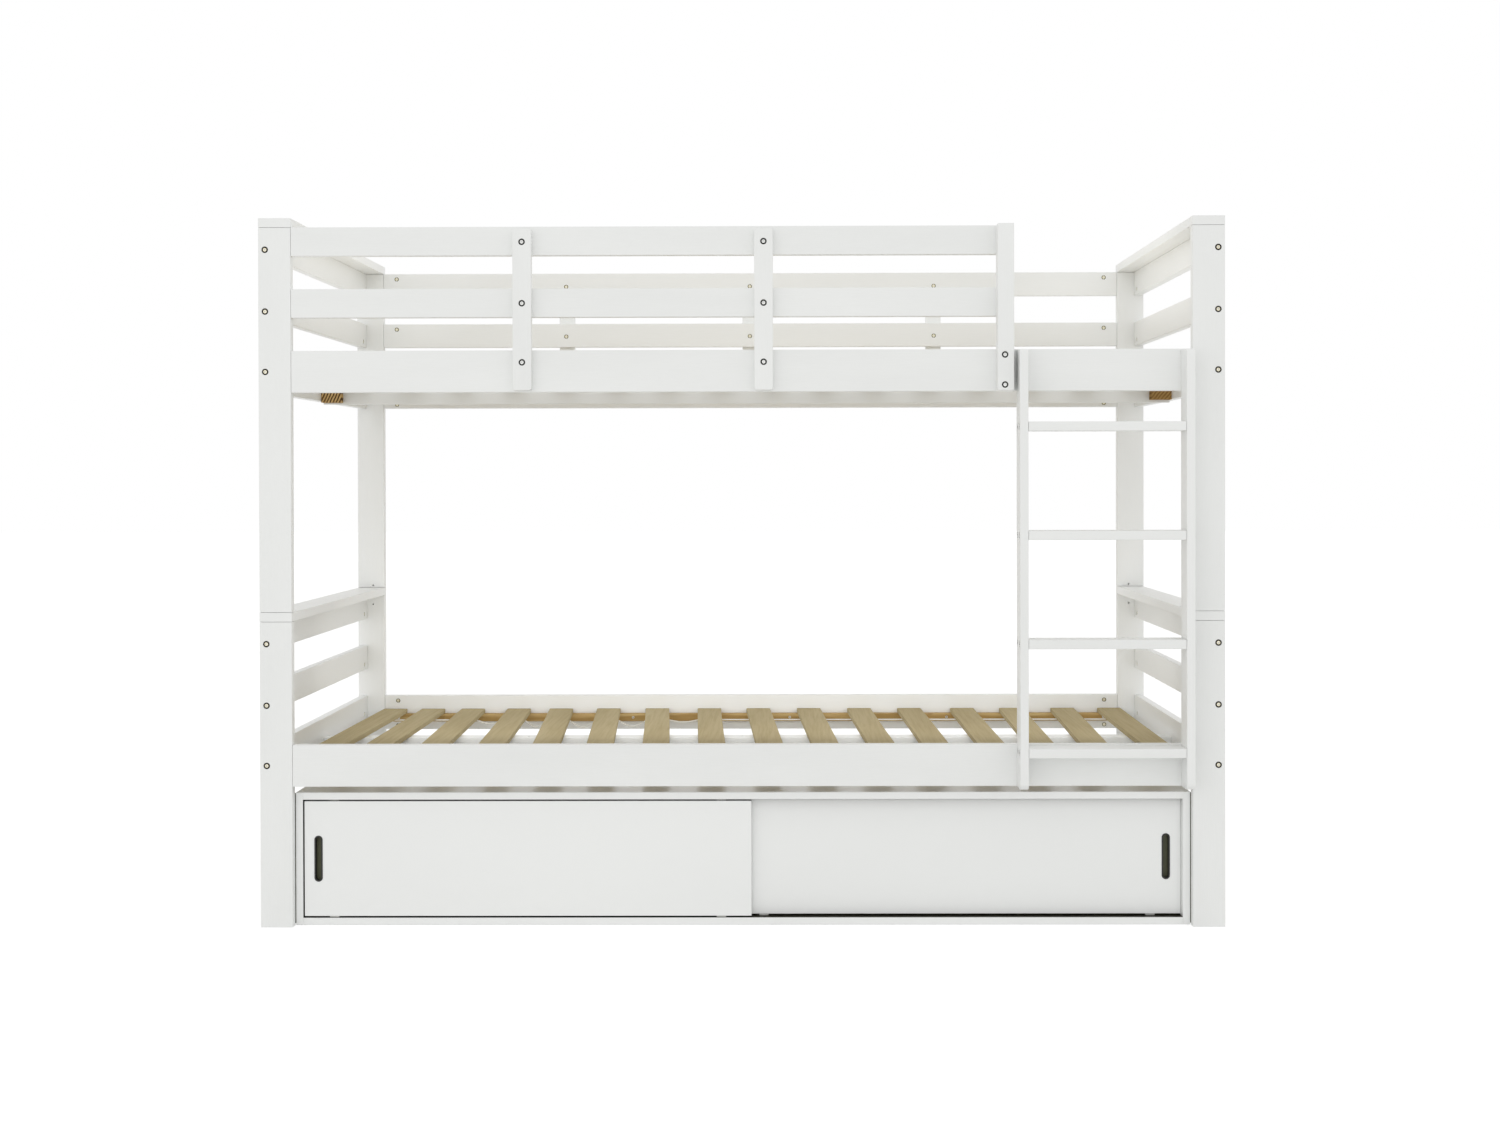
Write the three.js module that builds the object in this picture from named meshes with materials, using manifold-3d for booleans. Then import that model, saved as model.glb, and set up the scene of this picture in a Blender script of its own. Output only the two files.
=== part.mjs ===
// A wooden bunk bed with slatted bunks, guard rails, a fixed ladder
// and a storage box under the lower bunk, closed by two sliding doors.
// Millimetres. X runs along the bed, Y from the ladder side to the back, Z up from the floor.
import * as THREE from "three";
import { mergeVertices } from "three/addons/utils/BufferGeometryUtils.js";
import Module from "manifold-3d";

const wasm = await Module();
wasm.setup();

// Main frame, measured over the posts
const frameLength = 2080;
const frameDepth = 970;
const postWidth = 70;
const postThickness = 22;
const lowerPostHeight = 660;
const upperPostHeight = 830;
const capThickness = 20;

// Rails
const sideRailThickness = 22;
const endRailThickness = 20;
const endRailInset = 4.5;
const bedRailHeight = 90;
const slimRailHeight = 62;
const guardHeight = 266;

// Slats, the ledgers that carry them, the tapes that space them and the beam below them
const slatCount = 16;
const slatWidth = 62;
const slatThickness = 12;
const slatRecess = 35;
const slatSideClearance = 3;
const slatEndGap = 12;
const ledgerSize = 20;
const ledgerEndGap = 10;
const tapeWidth = 18;
const tapeThickness = 1.5;
const tapeSetIn = 134;
const beamWidth = 50;
const beamThickness = 15;
const beamBlockLength = 53;
const beamBlockThickness = 25;

// Guard battens, and the stile beside the ladder
const battenWidth = 40;
const battenThickness = 20;
const battenTopDrop = 8;
const battenFootRise = 3;
const frontBattenStart = 501;
const frontBattenPitch = 518;
const backBattenPitch = 486;
const guardStileWidth = 35;
const guardStileDepth = 38;

// Ladder
const ladderWidth = 371;
const ladderDepth = 62;
const ladderSideThickness = 18;
const ladderPostGap = 7;
const ladderStileGap = 9;
const ladderTopDrop = 3;
const rungCount = 4;
const rungThickness = 20;
const rungInset = 1;
const firstRungRise = 78;
const topRungDrop = 164.5;
const ladderNoseRadius = 14;

// Storage box
const boxPostClearance = 1;
const boxHeadroom = 16;
const boxDepth = 600;
const boxBoardThickness = 16;
const boxBackThickness = 5;
const topJointOffset = 36;

// Sliding doors, their glides and the grooves that they run in
const doorThickness = 16;
const doorSetback = 2;
const doorPassingGap = 3;
const doorEdgeGap = 3;
const doorSideGap = 2;
const doorOverlap = 38;
const grooveWidth = 5;
const lowerGrooveDepth = 4;
const upperGrooveDepth = 8;
const glideLength = 20;
const glideWidth = 10;
const glideClearance = 0.3;
const glideEndInset = 55;
const glideRoot = 8;

// Recessed finger pulls in the doors
const pullWidth = 18;
const pullHeight = 100;
const pullInset = 31;
const pullRimWidth = 1.5;
const pullRimProud = 0.75;
const pullWall = 1.25;
const pullDepth = 12;

// Rounded edges, and the gap left where two separately placed pieces meet
const arris = 2.5;
const endArris = 1;
const panelArris = 1;
const battenCorner = 5;
const seatGap = 0.25;
const cornerSteps = 2;
const pullSteps = 8;

// Planes that several pieces share
const endX = frameLength / 2;
const postInnerX = endX - postWidth;
const frontY = -frameDepth / 2;
const backY = frameDepth / 2;
const frontPostBackY = frontY + postThickness;
const backPostFrontY = backY - postThickness;
const storeyHeight = lowerPostHeight + capThickness;

const paint = { color: 0xf2f2ef, roughness: 0.45, metalness: 0 };
const slatWood = { color: 0xcdb590, roughness: 0.7, metalness: 0 };
const boardWhite = { color: 0xf3f4f2, roughness: 0.35, metalness: 0 };
const pullPlastic = { color: 0x2a2b22, roughness: 0.5, metalness: 0 };

// Heights inside one bunk, from the foot of its posts
function bunkLevels(postHeight) {
  const railTop = postHeight - guardHeight;
  const slatTop = railTop - slatRecess;
  const slatBottom = slatTop - slatThickness;
  return {
    capBottom: postHeight,
    railTop,
    railBottom: railTop - bedRailHeight,
    slatTop,
    slatBottom,
    topRailBottom: postHeight - slimRailHeight,
    middleRailBottom: railTop + (guardHeight - 2 * slimRailHeight) / 2,
  };
}

// A rectangle with rounded corners, as the points of a closed outline
function roundedOutline(u, v, radius) {
  const corners = [
    [u[1] - radius, v[0] + radius, -1],
    [u[1] - radius, v[1] - radius, 0],
    [u[0] + radius, v[1] - radius, 1],
    [u[0] + radius, v[0] + radius, 2],
  ];
  const points = [];
  for (const [centreU, centreV, quarter] of corners) {
    for (let step = 0; step <= cornerSteps; step++) {
      const angle = (quarter + step / cornerSteps) * (Math.PI / 2);
      const offset = new THREE.Vector2(Math.cos(angle), Math.sin(angle)).multiplyScalar(radius);
      points.push(new THREE.Vector2(centreU + offset.x, centreV + offset.y));
    }
  }
  return points;
}

// An upright slot with half-round ends
function slotOutline(centreU, centreV, width, height) {
  const radius = width / 2;
  const straight = height / 2 - radius;
  const points = [];
  for (const end of [1, -1]) {
    for (let step = 0; step <= pullSteps; step++) {
      const angle = (step / pullSteps) * Math.PI;
      points.push(
        new THREE.Vector2(
          centreU + end * radius * Math.cos(angle),
          centreV + end * (straight + radius * Math.sin(angle)),
        ),
      );
    }
  }
  return points;
}

// Extrudes an outline between two exact planes square to an axis, with bevelled ends.
// The outline holds (y, z) for axis x, (x, z) for axis y and (x, y) for axis z.
function extrudeBetween(outline, axis, from, to, bevel = 0, hole = null) {
  const shape = new THREE.Shape(outline);
  if (hole) shape.holes.push(new THREE.Path(hole));
  const depth = to - from - 2 * bevel;
  const geometry = new THREE.ExtrudeGeometry(shape, {
    depth,
    bevelEnabled: bevel > 0,
    bevelThickness: bevel,
    bevelSize: bevel,
    bevelOffset: -bevel,
    bevelSegments: 1,
  });
  const position = geometry.getAttribute("position");
  const nearEnd = -bevel / 2;
  const farEnd = depth + bevel / 2;
  for (let i = 0; i < position.count; i++) {
    const u = position.getX(i);
    const v = position.getY(i);
    const w = position.getZ(i);
    let along = from + bevel + w;
    if (w <= nearEnd) along = from;
    if (w >= farEnd) along = to;
    if (axis === "x") position.setXYZ(i, along, u, v);
    if (axis === "z") position.setXYZ(i, u, v, along);
    // Along y the extrusion runs from the back to the front, which keeps the faces turned out
    if (axis === "y") {
      let across = to - bevel - w;
      if (w <= nearEnd) across = to;
      if (w >= farEnd) across = from;
      position.setXYZ(i, u, across, v);
    }
  }
  return geometry;
}

// A planed board with softened edges; its grain runs along the named axis
function boardGeometry(x, y, z, grain, edge = arris) {
  const ranges = { x, y, z };
  const section = { x: [y, z], y: [x, z], z: [x, y] }[grain];
  const outline = roundedOutline(section[0], section[1], edge);
  return extrudeBetween(outline, grain, ranges[grain][0], ranges[grain][1], endArris);
}

function solidOf(geometry) {
  const plain = geometry.clone();
  plain.deleteAttribute("normal");
  plain.deleteAttribute("uv");
  const merged = mergeVertices(plain, 1e-4);
  return new wasm.Manifold(
    new wasm.Mesh({
      numProp: 3,
      vertProperties: merged.getAttribute("position").array,
      triVerts: new Uint32Array(merged.index.array),
    }),
  );
}

function geometryOf(solid) {
  const mesh = solid.getMesh();
  const geometry = new THREE.BufferGeometry();
  const vertices = new Float32Array(mesh.numVert * 3);
  for (let i = 0; i < mesh.numVert; i++) {
    vertices.set(mesh.vertProperties.subarray(i * mesh.numProp, i * mesh.numProp + 3), i * 3);
  }
  geometry.setAttribute("position", new THREE.BufferAttribute(vertices, 3));
  geometry.setIndex(new THREE.BufferAttribute(mesh.triVerts, 1));
  geometry.computeVertexNormals();
  return geometry;
}

function joined(geometries) {
  return geometryOf(geometries.map(solidOf).reduce((whole, solid) => whole.add(solid)));
}

function piece(name, geometry, material) {
  const mesh = new THREE.Mesh(geometry, new THREE.MeshStandardMaterial(material));
  mesh.name = name;
  return mesh;
}

// One end of a bunk: two posts, three rails between them and the cap over them
function endFrame(bunk, side, postHeight) {
  const end = new THREE.Group();
  const levels = bunkLevels(postHeight);
  const mirror = side === "left" ? -1 : 1;
  const acrossX = (near, far) => [mirror * near, mirror * far].sort((a, b) => a - b);
  const postX = acrossX(postInnerX, endX);
  const railX = acrossX(endX - endRailInset - endRailThickness, endX - endRailInset);
  const railY = [frontPostBackY, backPostFrontY];
  const postZ = [0, postHeight];
  const add = (name, x, y, z, grain) =>
    end.add(piece(`${bunk}_${side}_${name}`, boardGeometry(x, y, z, grain), paint));

  add("front_post", postX, [frontY, frontPostBackY], postZ, "z");
  add("back_post", postX, [backPostFrontY, backY], postZ, "z");
  add("cap", postX, [frontY, backY], [postHeight, postHeight + capThickness], "y");
  add("top_rail", railX, railY, [levels.topRailBottom, levels.capBottom], "y");
  const middleZ = [levels.middleRailBottom, levels.middleRailBottom + slimRailHeight];
  add("middle_rail", railX, railY, middleZ, "y");
  add("bed_rail", railX, railY, [levels.railBottom, levels.railTop], "y");
  return end;
}

// The beam under the slats and, at each end, the block that ties it to the end rail
function beamOnBlocks(beamY, beamZ, blockY, blockZ) {
  const innerEndX = endX - endRailInset - endRailThickness;
  const beam = boardGeometry([-innerEndX, innerEndX], beamY, beamZ, "x");
  const blocks = [-1, 1].map((side) => {
    const near = side * (innerEndX - beamBlockLength);
    const far = side * innerEndX;
    return boardGeometry([Math.min(near, far), Math.max(near, far)], blockY, blockZ, "x", panelArris);
  });
  return joined([beam, ...blocks]);
}

// The upper beam stands on edge, with its blocks on its front face
function beamOnEdge(levels) {
  const frontFace = -beamThickness / 2;
  const height = [levels.slatBottom - beamWidth, levels.slatBottom];
  const blockY = [frontFace - beamBlockThickness, frontFace];
  return beamOnBlocks([frontFace, beamThickness / 2], height, blockY, height);
}

// The lower beam lies flat on its blocks, which leaves room for the storage box
function beamLaidFlat(levels) {
  const underside = levels.slatBottom - beamThickness;
  const blockY = [-beamBlockThickness / 2, beamBlockThickness / 2];
  const blockZ = [underside - beamBlockThickness, underside];
  const beamY = [-beamWidth / 2, beamWidth / 2];
  return beamOnBlocks(beamY, [underside, levels.slatBottom], blockY, blockZ);
}

// Slats on their two ledgers, with the two tapes that hold the slats at their pitch
function slatDeck(levels) {
  const railInnerY = frameDepth / 2 - sideRailThickness;
  const slatEndY = railInnerY - slatSideClearance;
  const firstCentre = -postInnerX + slatEndGap + slatWidth / 2;
  const pitch = (-2 * firstCentre) / (slatCount - 1);
  const pieces = [];
  for (let i = 0; i < slatCount; i++) {
    const centre = firstCentre + i * pitch;
    const x = [centre - slatWidth / 2, centre + slatWidth / 2];
    pieces.push(boardGeometry(x, [-slatEndY, slatEndY], [levels.slatBottom, levels.slatTop], "y"));
  }
  const ledgerX = [-postInnerX + ledgerEndGap, postInnerX - ledgerEndGap];
  const ledgerZ = [levels.slatBottom - ledgerSize, levels.slatBottom];
  const tapeX = [firstCentre, -firstCentre];
  const tapeZ = [levels.slatBottom - tapeThickness, levels.slatBottom];
  const tapeNear = railInnerY - tapeSetIn - tapeWidth;
  for (const side of [-1, 1]) {
    const ledgerY = [side * (railInnerY - ledgerSize), side * railInnerY].sort((a, b) => a - b);
    pieces.push(boardGeometry(ledgerX, ledgerY, ledgerZ, "x", panelArris));
    const tapeY = [side * tapeNear, side * (tapeNear + tapeWidth)].sort((a, b) => a - b);
    const tapeSection = roundedOutline(tapeY, tapeZ, tapeThickness / 4);
    pieces.push(extrudeBetween(tapeSection, "x", tapeX[0], tapeX[1]));
  }
  return joined(pieces);
}

function bunk(name, postHeight, centreBeam) {
  const group = new THREE.Group();
  const levels = bunkLevels(postHeight);
  group.add(endFrame(name, "left", postHeight), endFrame(name, "right", postHeight));
  const railX = [-postInnerX, postInnerX];
  const railZ = [levels.railBottom, levels.railTop];
  const frontRailY = [frontY, frontY + sideRailThickness];
  const backRailY = [backY - sideRailThickness, backY];
  group.add(piece(`${name}_front_side_rail`, boardGeometry(railX, frontRailY, railZ, "x"), paint));
  group.add(piece(`${name}_back_side_rail`, boardGeometry(railX, backRailY, railZ, "x"), paint));
  group.add(piece(`${name}_centre_beam`, centreBeam(levels), paint));
  group.add(piece(`${name}_slat_deck`, slatDeck(levels), slatWood));
  return group;
}

// The ladder's left edge and the guard stile's right edge bound the way in to the upper bunk
const ladderRightX = postInnerX - ladderPostGap;
const ladderLeftX = ladderRightX - ladderWidth;
const guardEndX = ladderLeftX - ladderStileGap;

// A short upright board with rounded corners, fixed flat across the rails
function battenGeometry(centreX, y, z) {
  const x = [centreX - battenWidth / 2, centreX + battenWidth / 2];
  return extrudeBetween(roundedOutline(x, z, battenCorner), "y", y[0], y[1], endArris);
}

function guards(levels) {
  const group = new THREE.Group();
  const topZ = [levels.topRailBottom, levels.capBottom];
  const middleZ = [levels.middleRailBottom, levels.middleRailBottom + slimRailHeight];
  const battenZ = [levels.railBottom + battenFootRise, levels.capBottom - battenTopDrop];
  const add = (name, geometry) => group.add(piece(name, geometry, paint));

  const frontX = [-postInnerX, guardEndX];
  const frontRailY = [frontY, frontY + sideRailThickness];
  add("front_guard_top_rail", boardGeometry(frontX, frontRailY, topZ, "x"));
  add("front_guard_middle_rail", boardGeometry(frontX, frontRailY, middleZ, "x"));
  const frontBattenY = [frontY - battenThickness, frontY];
  const firstBatten = -postInnerX + frontBattenStart;
  add("front_guard_batten_1", battenGeometry(firstBatten, frontBattenY, battenZ));
  add("front_guard_batten_2", battenGeometry(firstBatten + frontBattenPitch, frontBattenY, battenZ));
  const stileX = [guardEndX - guardStileWidth, guardEndX];
  const stileY = [frontY - guardStileDepth, frontY];
  add("front_guard_stile", boardGeometry(stileX, stileY, [levels.railBottom, levels.capBottom], "z"));

  const backX = [-postInnerX, postInnerX];
  const backRailY = [backY - sideRailThickness, backY];
  add("back_guard_top_rail", boardGeometry(backX, backRailY, topZ, "x"));
  add("back_guard_middle_rail", boardGeometry(backX, backRailY, middleZ, "x"));
  const backBattenY = [backY, backY + battenThickness];
  for (const place of [-1, 0, 1]) {
    add(`back_guard_batten_${place + 2}`, battenGeometry(place * backBattenPitch, backBattenY, battenZ));
  }
  return group;
}

// Side of the ladder seen from the end of the bed: square at the back, rounded at the front
function ladderSideOutline(y, z) {
  const points = [new THREE.Vector2(y[1], z[0]), new THREE.Vector2(y[1], z[1])];
  const steps = 2 * cornerSteps;
  for (const [centreZ, start] of [[z[1] - ladderNoseRadius, 1], [z[0] + ladderNoseRadius, 2]]) {
    for (let step = 0; step <= steps; step++) {
      const angle = (start + step / steps) * (Math.PI / 2);
      const offset = new THREE.Vector2(Math.cos(angle), Math.sin(angle)).multiplyScalar(ladderNoseRadius);
      points.push(new THREE.Vector2(y[0] + ladderNoseRadius + offset.x, centreZ + offset.y));
    }
  }
  return points;
}

// The ladder leans flat on both front side rails
function ladder(footZ, topZ) {
  const group = new THREE.Group();
  const sideY = [frontY - seatGap - ladderDepth, frontY - seatGap];
  const sides = {
    left: [ladderLeftX, ladderLeftX + ladderSideThickness],
    right: [ladderRightX - ladderSideThickness, ladderRightX],
  };
  for (const side of ["left", "right"]) {
    const outline = ladderSideOutline(sideY, [footZ, topZ]);
    const geometry = extrudeBetween(outline, "x", sides[side][0], sides[side][1], endArris);
    group.add(piece(`ladder_${side}_side`, geometry, paint));
  }
  const rungX = [sides.left[1], sides.right[0]];
  const rungY = [sideY[0] + rungInset, sideY[1] - rungInset];
  const firstRung = footZ + firstRungRise;
  const rungPitch = (topZ - topRungDrop - firstRung) / (rungCount - 1);
  for (let i = 0; i < rungCount; i++) {
    const centre = firstRung + i * rungPitch;
    const z = [centre - rungThickness / 2, centre + rungThickness / 2];
    group.add(piece(`ladder_rung_${i + 1}`, boardGeometry(rungX, rungY, z, "x"), paint));
  }
  return group;
}

// The box stands on the floor behind the front posts, clear of the rails and the beam above it
const lowerLevels = bunkLevels(lowerPostHeight);
const upperLevels = bunkLevels(upperPostHeight);
const boxTopZ = lowerLevels.railBottom - boxHeadroom;
const boxEndX = postInnerX - boxPostClearance;
const bayEndX = boxEndX - boxBoardThickness;
const boxFrontY = frontPostBackY;
const boxBackY = boxFrontY + boxDepth;
const bayFloorZ = boxBoardThickness;
const bayRoofZ = boxTopZ - boxBoardThickness;
const frontDoorY = boxFrontY + doorSetback;
const backDoorY = frontDoorY + doorThickness + doorPassingGap;
const tracksEndY = backDoorY + doorThickness + doorSetback;

// Section of the floor or roof board, with one groove for each door in its inner face
function groovedOutline(outerZ, innerZ, grooveDepth) {
  const inwards = Math.sign(innerZ - outerZ);
  const points = [new THREE.Vector2(boxFrontY, innerZ - inwards * panelArris)];
  points.push(new THREE.Vector2(boxFrontY + panelArris, innerZ));
  for (const doorY of [frontDoorY, backDoorY]) {
    const centre = doorY + doorThickness / 2;
    const near = centre - grooveWidth / 2;
    const far = centre + grooveWidth / 2;
    points.push(new THREE.Vector2(near, innerZ));
    points.push(new THREE.Vector2(near, innerZ - inwards * grooveDepth));
    points.push(new THREE.Vector2(far, innerZ - inwards * grooveDepth));
    points.push(new THREE.Vector2(far, innerZ));
  }
  points.push(new THREE.Vector2(boxBackY, innerZ));
  points.push(new THREE.Vector2(boxBackY, outerZ));
  points.push(new THREE.Vector2(boxFrontY + panelArris, outerZ));
  points.push(new THREE.Vector2(boxFrontY, outerZ + inwards * panelArris));
  return points;
}

function storageBox() {
  const group = new THREE.Group();
  const add = (name, geometry) => group.add(piece(`storage_${name}`, geometry, boardWhite));
  const boxY = [boxFrontY, boxBackY];
  const bayZ = [bayFloorZ, bayRoofZ];
  const floorSection = groovedOutline(0, bayFloorZ, lowerGrooveDepth);
  const roofSection = groovedOutline(boxTopZ, bayRoofZ, upperGrooveDepth);
  add("left_panel", boardGeometry([-boxEndX, -bayEndX], boxY, [0, boxTopZ], "y", panelArris));
  add("right_panel", boardGeometry([bayEndX, boxEndX], boxY, [0, boxTopZ], "y", panelArris));
  add("floor_panel", extrudeBetween(floorSection, "x", -bayEndX, bayEndX));
  add("left_top_panel", extrudeBetween(roofSection, "x", -bayEndX, topJointOffset));
  add("right_top_panel", extrudeBetween(roofSection, "x", topJointOffset, bayEndX));
  const backPanelY = [boxBackY - boxBackThickness, boxBackY];
  add("back_panel", boardGeometry([-bayEndX, bayEndX], backPanelY, bayZ, "x", panelArris));
  const dividerX = [topJointOffset - boxBoardThickness / 2, topJointOffset + boxBoardThickness / 2];
  add("divider", boardGeometry(dividerX, [tracksEndY, backPanelY[0]], bayZ, "y", panelArris));
  return group;
}

// A door closed at its own end of the box, with glides below and tongues above
const doorWidth = bayEndX + doorOverlap / 2 - doorSideGap;
const doorZ = [bayFloorZ + doorEdgeGap, bayRoofZ - doorEdgeGap];

function slidingDoor(side, doorY) {
  const group = new THREE.Group();
  const mirror = side === "left" ? -1 : 1;
  const outerX = mirror * (bayEndX - doorSideGap);
  const innerX = outerX - mirror * doorWidth;
  const x = [Math.min(outerX, innerX), Math.max(outerX, innerX)];
  const y = [doorY, doorY + doorThickness];
  const pullX = outerX - mirror * pullInset;
  const pullZ = (doorZ[0] + doorZ[1]) / 2;
  const slotWidth = pullWidth - 2 * pullRimWidth;
  const slotHeight = pullHeight - 2 * pullRimWidth;
  const slot = slotOutline(pullX, pullZ, slotWidth, slotHeight);
  const outline = roundedOutline(x, doorZ, panelArris);
  const parts = [extrudeBetween(outline, "y", y[0], y[1], 0, slot)];

  const centreY = doorY + doorThickness / 2;
  const tongueHalf = grooveWidth / 2 - glideClearance;
  const glideX = [x[0] + glideEndInset, x[1] - glideEndInset - glideLength];
  for (const start of glideX) {
    parts.push(extrudeBetween(glideOutline(centreY, tongueHalf), "x", start, start + glideLength));
    const tongueZ = [doorZ[1] - glideRoot, bayRoofZ + upperGrooveDepth - 2 * glideClearance];
    const tongue = roundedOutline([centreY - tongueHalf, centreY + tongueHalf], tongueZ, 0.5);
    parts.push(extrudeBetween(tongue, "x", start, start + glideLength));
  }
  group.add(piece(`${side}_door_panel`, joined(parts), boardWhite));
  group.add(piece(`${side}_door_pull`, fingerPull(pullX, pullZ, doorY), pullPlastic));
  return group;
}

// Section of a glide: its foot stands on the floor board and its tongue hangs in the groove
function glideOutline(centreY, tongueHalf) {
  const footZ = bayFloorZ + glideClearance;
  const tongueZ = bayFloorZ - lowerGrooveDepth + glideClearance;
  const rootZ = doorZ[0] + glideRoot;
  const half = glideWidth / 2;
  const corners = [
    [-tongueHalf, tongueZ],
    [tongueHalf, tongueZ],
    [tongueHalf, footZ],
    [half, footZ],
    [half, rootZ],
    [-half, rootZ],
    [-half, footZ],
    [-tongueHalf, footZ],
  ];
  return corners.map(([offset, z]) => new THREE.Vector2(centreY + offset, z));
}

// A cup with a thin rim: the rim laps the door's face and the cup fills the slot behind it
function fingerPull(centreX, centreZ, doorY) {
  const cupWidth = pullWidth - 2 * pullRimWidth - 2 * seatGap;
  const cupHeight = pullHeight - 2 * pullRimWidth - 2 * seatGap;
  const rimFrontY = doorY - seatGap - pullRimProud;
  const cupBackY = doorY + pullDepth;
  const rim = slotOutline(centreX, centreZ, pullWidth, pullHeight);
  const cup = slotOutline(centreX, centreZ, cupWidth, cupHeight);
  const hollow = slotOutline(centreX, centreZ, cupWidth - 2 * pullWall, cupHeight - 2 * pullWall);
  const outer = solidOf(extrudeBetween(rim, "y", rimFrontY, doorY - seatGap, pullRimProud / 2))
    .add(solidOf(extrudeBetween(cup, "y", doorY - seatGap - pullRimProud / 2, cupBackY)));
  return geometryOf(
    outer.subtract(solidOf(extrudeBetween(hollow, "y", rimFrontY - 1, cupBackY - pullWall))),
  );
}

const upperBunk = bunk("upper", upperPostHeight, beamOnEdge);
upperBunk.add(guards(upperLevels));
upperBunk.position.z = storeyHeight;

const ladderTopZ = storeyHeight + upperLevels.railTop - ladderTopDrop;

// The origin is on the floor, midway along the bed and midway between ladder and back battens
const group = new THREE.Group();
group.add(bunk("lower", lowerPostHeight, beamLaidFlat), upperBunk);
group.add(ladder(lowerLevels.railBottom, ladderTopZ));
group.add(storageBox(), slidingDoor("left", frontDoorY), slidingDoor("right", backDoorY));
group.position.y = (seatGap + ladderDepth - battenThickness) / 2;

export default group;
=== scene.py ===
"""White painted bunk bed with slatted bunks, a ladder and a storage box with sliding doors.

Everything is in metres. X runs along the bed, Y from the ladder side to the back, Z up from the floor.
"""
import math

import bmesh
import bpy
from mathutils import Euler, Matrix, Vector


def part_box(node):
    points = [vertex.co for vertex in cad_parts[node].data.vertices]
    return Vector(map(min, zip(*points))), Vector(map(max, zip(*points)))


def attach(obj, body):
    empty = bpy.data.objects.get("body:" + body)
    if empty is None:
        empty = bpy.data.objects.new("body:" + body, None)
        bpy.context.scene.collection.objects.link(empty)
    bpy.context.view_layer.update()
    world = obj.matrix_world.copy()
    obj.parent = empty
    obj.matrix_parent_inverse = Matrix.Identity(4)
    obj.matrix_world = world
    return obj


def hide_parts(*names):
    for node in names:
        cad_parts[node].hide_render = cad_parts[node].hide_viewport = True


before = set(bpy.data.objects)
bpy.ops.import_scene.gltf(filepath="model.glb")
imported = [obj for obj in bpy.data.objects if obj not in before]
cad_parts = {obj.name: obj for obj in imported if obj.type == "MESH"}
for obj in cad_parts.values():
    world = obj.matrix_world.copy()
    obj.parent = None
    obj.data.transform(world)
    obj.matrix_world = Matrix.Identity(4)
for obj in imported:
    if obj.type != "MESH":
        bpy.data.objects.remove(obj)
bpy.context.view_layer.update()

# The bed's own middle plane lies this far behind the middle of the frame
BED_MIDDLE_Y = 0.021125

# Rounded edges of the boards
ARRIS = 0.0015
END_ARRIS = 0.0006
PANEL_ARRIS = 0.0006
BATTEN_CORNER = 0.005
LADDER_CORNER = 0.014
JOINT_GAP = 0.0006

# Fittings
BOLT_DIAMETER = 0.0138
BOLT_RECESS = 0.0146
BOLT_RECESS_DEPTH = 0.0014
BOLT_SINK = BOLT_RECESS_DEPTH - 0.001
BARREL_DIAMETER = 0.011
BARREL_HOLE = BARREL_DIAMETER + 0.0008
BARREL_HOLE_DEPTH = 0.0012
BARREL_SINK = 0.0006
BARREL_SETBACK = 0.035
SCREW_DIAMETER = 0.007
SCREW_RECESS = 0.0085
SCREW_RECESS_DEPTH = 0.002
SCREW_SINK = 0.0015
SLIM_RAIL_BOLT_RISE = 0.014
RAIL_NUT_DROP = 0.014
RAIL_NUT_RISE = 0.0105
LADDER_BOLT_SPACING = 0.032
PILOT_HOLE_DIAMETER = 0.0046

AXES = {"x": 0, "y": 1, "z": 2}
FORWARD = Vector((0, -1, 0))
bpy.context.tool_settings.mesh_select_mode = (False, True, False)


# Camera and light

# How brightly the floor glows when it is looked at, and how much of its look that makes up.
# The rest is the lit floor with the bed's shadow.
FLOOR_GLOW = 1.22
FLOOR_GLOW_SHARE = 0.68


def make_camera():
    """The photograph's viewpoint: about four metres in front, a little below the upper bunk."""
    camera = bpy.data.objects.new("camera", bpy.data.cameras.new("camera"))
    bpy.context.collection.objects.link(camera)
    tilt = Euler((math.radians(89.5974), 0, math.radians(0.369))).to_matrix()
    roll = Matrix.Rotation(math.radians(-0.1261), 3, "Z")
    camera.location = (0.10267, -4.588805, 0.96786)
    camera.rotation_euler = (tilt @ roll).to_euler()
    camera.data.lens = 46.012
    camera.data.sensor_width = 36
    camera.data.sensor_fit = "HORIZONTAL"
    camera.data.shift_x = -0.01778
    camera.data.shift_y = -0.04731
    camera.data.clip_end = 200
    bpy.context.scene.camera = camera


def make_world():
    """Even white light all round, and a plain white background."""
    world = bpy.data.worlds.new("studio")
    bpy.context.scene.world = world
    world.use_nodes = True
    tree = world.node_tree
    tree.nodes.clear()
    lit = tree.nodes.new("ShaderNodeBackground")
    lit.inputs["Color"].default_value = (1.0, 1.0, 0.995, 1)
    lit.inputs["Strength"].default_value = 0.915
    seen = tree.nodes.new("ShaderNodeBackground")
    seen.inputs["Color"].default_value = (1, 1, 1, 1)
    seen.inputs["Strength"].default_value = 1.0
    mix = tree.nodes.new("ShaderNodeMixShader")
    output = tree.nodes.new("ShaderNodeOutputWorld")
    tree.links.new(seen_directly(tree), mix.inputs[0])
    tree.links.new(lit.outputs[0], mix.inputs[1])
    tree.links.new(seen.outputs[0], mix.inputs[2])
    tree.links.new(mix.outputs[0], output.inputs["Surface"])


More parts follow.
